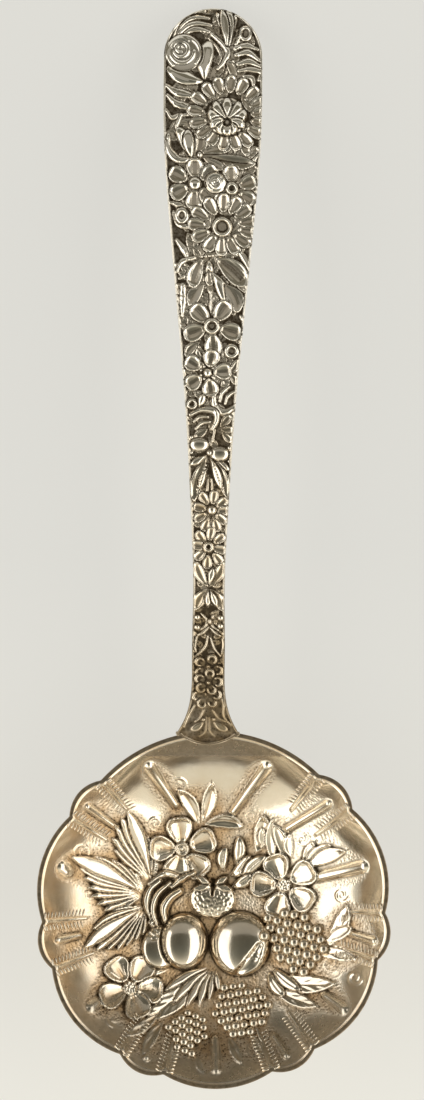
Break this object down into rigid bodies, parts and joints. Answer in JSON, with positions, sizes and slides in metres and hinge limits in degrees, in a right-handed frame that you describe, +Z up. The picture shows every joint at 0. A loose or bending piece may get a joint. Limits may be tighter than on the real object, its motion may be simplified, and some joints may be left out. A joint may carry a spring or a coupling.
{
  "type": "berry spoon",
  "caption": "Antique silver berry spoon: round lobed bowl with raised fruit and flowers, and a flat struck floral handle.",
  "frame": {"origin": "on the table that the spoon lies on, under the middle of its bounding box", "axes": "+Z up out of the hollow of the bowl, +Y along the handle towards its tip, +X to the right with the handle pointing away"},
  "size_m": [0.0749, 0.23, 0.0284],
  "materials": {
    "bowl_silver": "polished silver with tarnish in the recesses",
    "handle_silver": "polished silver over a dark oxidised ground",
    "silver_solder": "bright solder"
  },
  "bodies": {
    "root": {"bowl": "bowl_silver", "handle": "handle_silver", "solder_seam": "silver_solder"}
  },
  "joints": []
}
